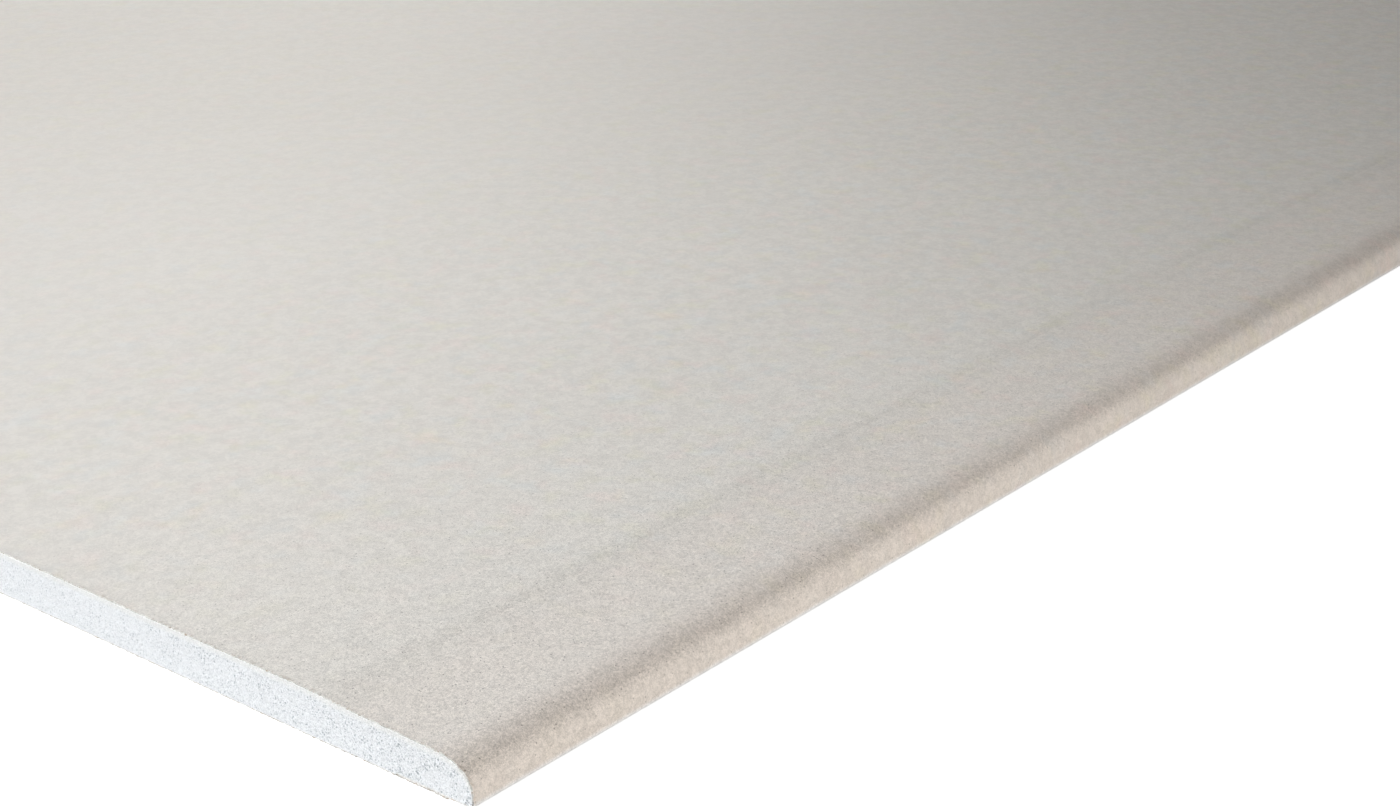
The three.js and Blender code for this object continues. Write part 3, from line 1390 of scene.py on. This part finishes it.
@dataclass(frozen=True)
class Studio:
    """Plain pale studio: floor, surroundings, lamps and camera.

    Attributes:
        corner: The sheet's corner nearest to the camera, on the floor.
        length: Length of the sheet.
        width: Width of the sheet.
        thickness: Thickness of the sheet.
        view: The camera's place.
        surround: Brightness of the surroundings as a source of light.
        floor_side: Side of the square floor.
        floor_drop: How far the floor lies below the sheet.
        floor_tone: Grey of the floor as the sheet sees it.
        shade_tone: Grey of the floor as the camera sees it, which keeps the sheet's shadow.
        floor_glow: Light that is added to that grey, so that the floor looks white.
        reach: Level distance between an edge of the sheet and the lamp that lights it.
        turn: Distance along the key lamp at which its light ends and that of the far panel begins.
        panel_height: Height of the overhead panels above the face.
        panel_output: Power of the overhead panels for each square metre.
    """

    corner: Vector
    length: float
    width: float
    thickness: float
    view: Viewpoint = Viewpoint()
    surround: float = 0.258
    floor_side: float = 60.0
    floor_drop: float = 0.05 * MM
    floor_tone: float = 0.28
    shade_tone: float = 0.48
    floor_glow: float = 0.88
    reach: float = 0.8
    turn: float = 0.93
    panel_height: float = 0.6
    panel_output: float = 2.0

    def add_world(self) -> None:
        """Surrounds the scene with even light, and with white wherever it is seen."""
        world = bpy.data.worlds.new("surroundings")
        world.use_nodes = True
        wiring = Wiring(world.node_tree)
        brightness = {"Value": wiring.is_seen(), "To Min": self.surround, "To Max": 1.0}
        strength = wiring.node("ShaderNodeMapRange", brightness).outputs["Result"]
        light = wiring.node("ShaderNodeBackground", {"Color": (1.0, 1.0, 1.0), "Strength": strength})
        wiring.node("ShaderNodeOutputWorld", {"Surface": light.outputs[0]})
        bpy.context.scene.world = world

    def add_floor(self) -> None:
        """Lays a pale floor that looks white and keeps the sheet's shadow."""
        mesh = bpy.data.meshes.new("floor")
        half = self.floor_side / 2
        sides = ((-half, -half), (half, -half), (half, half), (-half, half))
        mesh.from_pydata([(x, y, -self.floor_drop) for x, y in sides], [], [(0, 1, 2, 3)])
        floor = bpy.data.objects.new("floor", mesh)
        bpy.context.scene.collection.objects.link(floor)
        material = bpy.data.materials.new("pale_floor")
        material.use_nodes = True
        wiring = Wiring(material.node_tree)
        lit = wiring.node("ShaderNodeBsdfDiffuse", {"Color": (self.floor_tone,) * 3})
        shade = wiring.node("ShaderNodeBsdfDiffuse", {"Color": (self.shade_tone,) * 3})
        glow = wiring.node("ShaderNodeEmission", {"Strength": self.floor_glow})
        seen = wiring.node("ShaderNodeAddShader", {0: shade.outputs[0], 1: glow.outputs[0]})
        parts = {"Fac": wiring.is_seen(), 1: lit.outputs[0], 2: seen.outputs[0]}
        choice = wiring.node("ShaderNodeMixShader", parts)
        wiring.node("ShaderNodeOutputMaterial", {"Surface": choice.outputs[0]})
        mesh.materials.append(material)

    def over(self, along: float, away: float, height: float) -> Vector:
        """Returns a place over the sheet, set out from its near corner.

        Args:
            along: Distance along the key lamp's long side.
            away: Distance level away from the key lamp.
            height: Height above the face.

        Returns:
            The place.
        """
        far_left = Bearing.FROM_FAR_LEFT
        level = along * far_left.square_on() + away * far_left.along(0.0)
        return self.corner + level + Vector((0.0, 0.0, self.thickness + height))

    def add_key_lamp(self) -> None:
        """Sets up two gridded softboxes end to end at the far left, which light a band of the sheet."""
        far_left = Bearing.FROM_FAR_LEFT
        near_lamp = ("key_softbox", -0.5, 0.45, 2.07, (0.985, 0.995, 1.01))
        far_lamp = ("far_key_softbox", 0.45, self.turn, 1.88, (1.0, 1.0, 1.0))
        for name, start, stop, output, colour in (near_lamp, far_lamp):
            Softbox(
                name,
                centre=self.over((start + stop) / 2, away=-1.176, height=0.482),
                beam=far_left.along(28.36),
                long_side=far_left.square_on(),
                size=(stop - start, 0.445),
                power=output * (stop - start),
                colour=colour,
                beam_angle=19.16,
            ).build()

    def add_overhead_lamp(
        self,
        name: str,
        along: tuple[float, float],
        away: tuple[float, float],
        beam_angle: float,
        share: float = 1.0,
    ) -> None:
        """Hangs a gridded panel over a stretch of the sheet that lies outside the key lamp's band.

        Args:
            name: Name of the lamp.
            along: Start and end of the stretch along the key lamp's long side.
            away: Its start and end level away from the key lamp.
            beam_angle: Full angle of the beam, in degrees.
            share: Share of the panels' usual output that it gives.
        """
        length, depth = along[1] - along[0], away[1] - away[0]
        Softbox(
            name,
            centre=self.over(sum(along) / 2, sum(away) / 2, self.panel_height),
            beam=Vector((0.0, 0.0, -1.0)),
            long_side=Bearing.FROM_FAR_LEFT.square_on(),
            size=(length, depth),
            power=share * self.panel_output * length * depth,
            beam_angle=beam_angle,
        ).build()

    def add_overhead_lamps(self) -> None:
        """Hangs the panels: on both sides of the key lamp's band, and over all beyond its end."""
        self.add_overhead_lamp(
            "right_softbox", (-0.1, self.turn), (0.5, 1.75), beam_angle=22.6, share=0.5
        )
        self.add_overhead_lamp("left_softbox", (0.4, self.turn), (-1.36, -0.755), beam_angle=40.0)
        self.add_overhead_lamp("far_softbox", (self.turn, 3.0), (-1.1, 1.75), beam_angle=30.4)

    def add_edge_lamp(
        self,
        name: str,
        place: tuple[float, float, float],
        bearing: Bearing,
        size: tuple[float, float],
        power: float,
        colour: Colour = (1.0, 1.0, 1.0),
        beam_angle: float = 60.0,
    ) -> None:
        """Stands a softbox low beside the sheet, shining level.

        Args:
            name: Name of the lamp.
            place: Where it stands, set out from the sheet's near corner.
            bearing: Bearing on which it shines.
            size: Length and height of its face.
            power: Its power in watts.
            colour: Its colour.
            beam_angle: Full angle of its beam, in degrees.
        """
        Softbox(
            name,
            centre=self.corner + Vector(place),
            beam=bearing.along(0.0),
            long_side=bearing.square_on(),
            size=size,
            power=power,
            colour=colour,
            beam_angle=beam_angle,
        ).build()

    def add_edge_lamps(self) -> None:
        """Stands a low softbox before each long edge and the far end, and a warm one at the corner."""
        low = 0.06
        self.add_edge_lamp(
            "edge_softbox",
            place=(0.045, -self.reach, 0.1155),
            bearing=Bearing.ALONG_THE_WIDTH,
            size=(0.61, 0.229),
            power=5.6,
            colour=(1.0, 0.968, 0.91),
            beam_angle=180.0,
        )
        self.add_edge_lamp(
            "near_edge_softbox",
            place=(self.length - 0.74, -self.reach, low),
            bearing=Bearing.ALONG_THE_WIDTH,
            size=(1.68, 0.1),
            power=1.7,
        )
        self.add_edge_lamp(
            "far_edge_softbox",
            place=(self.length / 2, self.width + self.reach, low),
            bearing=Bearing.BACK_ALONG_THE_WIDTH,
            size=(2.7, 0.1),
            power=2.6,
        )
        self.add_edge_lamp(
            "far_end_softbox",
            place=(self.length + self.reach, self.width / 2, low),
            bearing=Bearing.BACK_ALONG_THE_LENGTH,
            size=(1.5, 0.1),
            power=1.5,
        )

    def add_camera(self) -> None:
        """Places the camera low before the near corner, looking along the sheet and down on it."""
        camera = bpy.data.cameras.new("camera")
        camera.sensor_width = self.view.sensor
        camera.lens = self.view.lens
        camera.clip_start = 0.01
        holder = bpy.data.objects.new("camera", camera)
        holder.location = self.corner + Vector(self.view.eye)
        heading, dip = math.radians(self.view.heading), math.radians(self.view.dip)
        holder.rotation_euler = (math.pi / 2 - dip, 0.0, heading - math.pi / 2)
        bpy.context.scene.collection.objects.link(holder)
        bpy.context.scene.camera = holder

    def build(self) -> None:
        """Builds the whole studio and keeps colours as they are written."""
        self.add_camera()
        self.add_world()
        self.add_floor()
        self.add_key_lamp()
        self.add_overhead_lamps()
        self.add_edge_lamps()
        bpy.context.scene.view_settings.view_transform = "Standard"


# ---------------------------------------------------------------------------------------------------
# The whole
# ---------------------------------------------------------------------------------------------------


def main() -> None:
    """Builds the sheet piece by piece, then the studio round it."""
    logging.basicConfig(level=logging.INFO, format="%(name)s: %(message)s")
    lowest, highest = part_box("face_paper")
    length = highest.x - lowest.x
    thickness = highest.z
    section = BoardSection(width=highest.y - lowest.y, thickness=thickness)

    bond_gap = 0.01 * MM
    makers = (
        GypsumCore(section, length),
        FaceLiner("face_liner", section, length, section.face_paper, RaggedEnd(51), RaggedEnd(61)),
        BackLiner(
            "back_liner", section, length, section.back_paper - bond_gap, RaggedEnd(71), RaggedEnd(81)
        ),
    )
    for maker in makers:
        piece = maker.build()
        maker.dress(piece)
        logger.info("%s: %d faces", piece.name, len(piece.data.polygons))

    corner = Vector((lowest.x, lowest.y, 0.0))
    Studio(corner, length, section.width, thickness).build()


if __name__ == "__main__":
    main()
